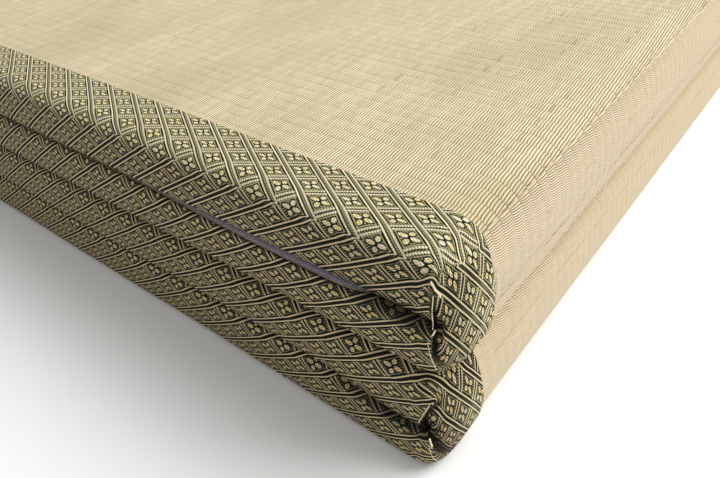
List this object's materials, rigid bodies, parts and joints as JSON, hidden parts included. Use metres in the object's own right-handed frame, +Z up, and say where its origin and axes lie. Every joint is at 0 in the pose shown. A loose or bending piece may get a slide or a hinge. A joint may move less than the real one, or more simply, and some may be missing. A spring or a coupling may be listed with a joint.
{
  "type": "folding tatami mat",
  "caption": "Padded woven-rush floor mat folded back and forth into a low stack, with lozenge-patterned cloth binding along both cut edges and a grey backing cloth.",
  "frame": {"origin": "middle of the folded stack's footprint, on the floor", "axes": "+X along the bound edge towards the folds that show, +Y across the mat from the front binding to the rear binding, +Z up"},
  "size_m": [0.538, 1, 0.1151],
  "materials": {
    "rush": "woven rush, pale straw, satin strands",
    "backing_cloth": "ribbed grey cloth, matte",
    "binding_cloth": "woven lozenge lattice in ivory, yellow and olive black"
  },
  "bodies": {
    "root": {"mat": "rush", "backing": "backing_cloth", "binding_front": "binding_cloth", "binding_rear": "binding_cloth"}
  },
  "joints": []
}
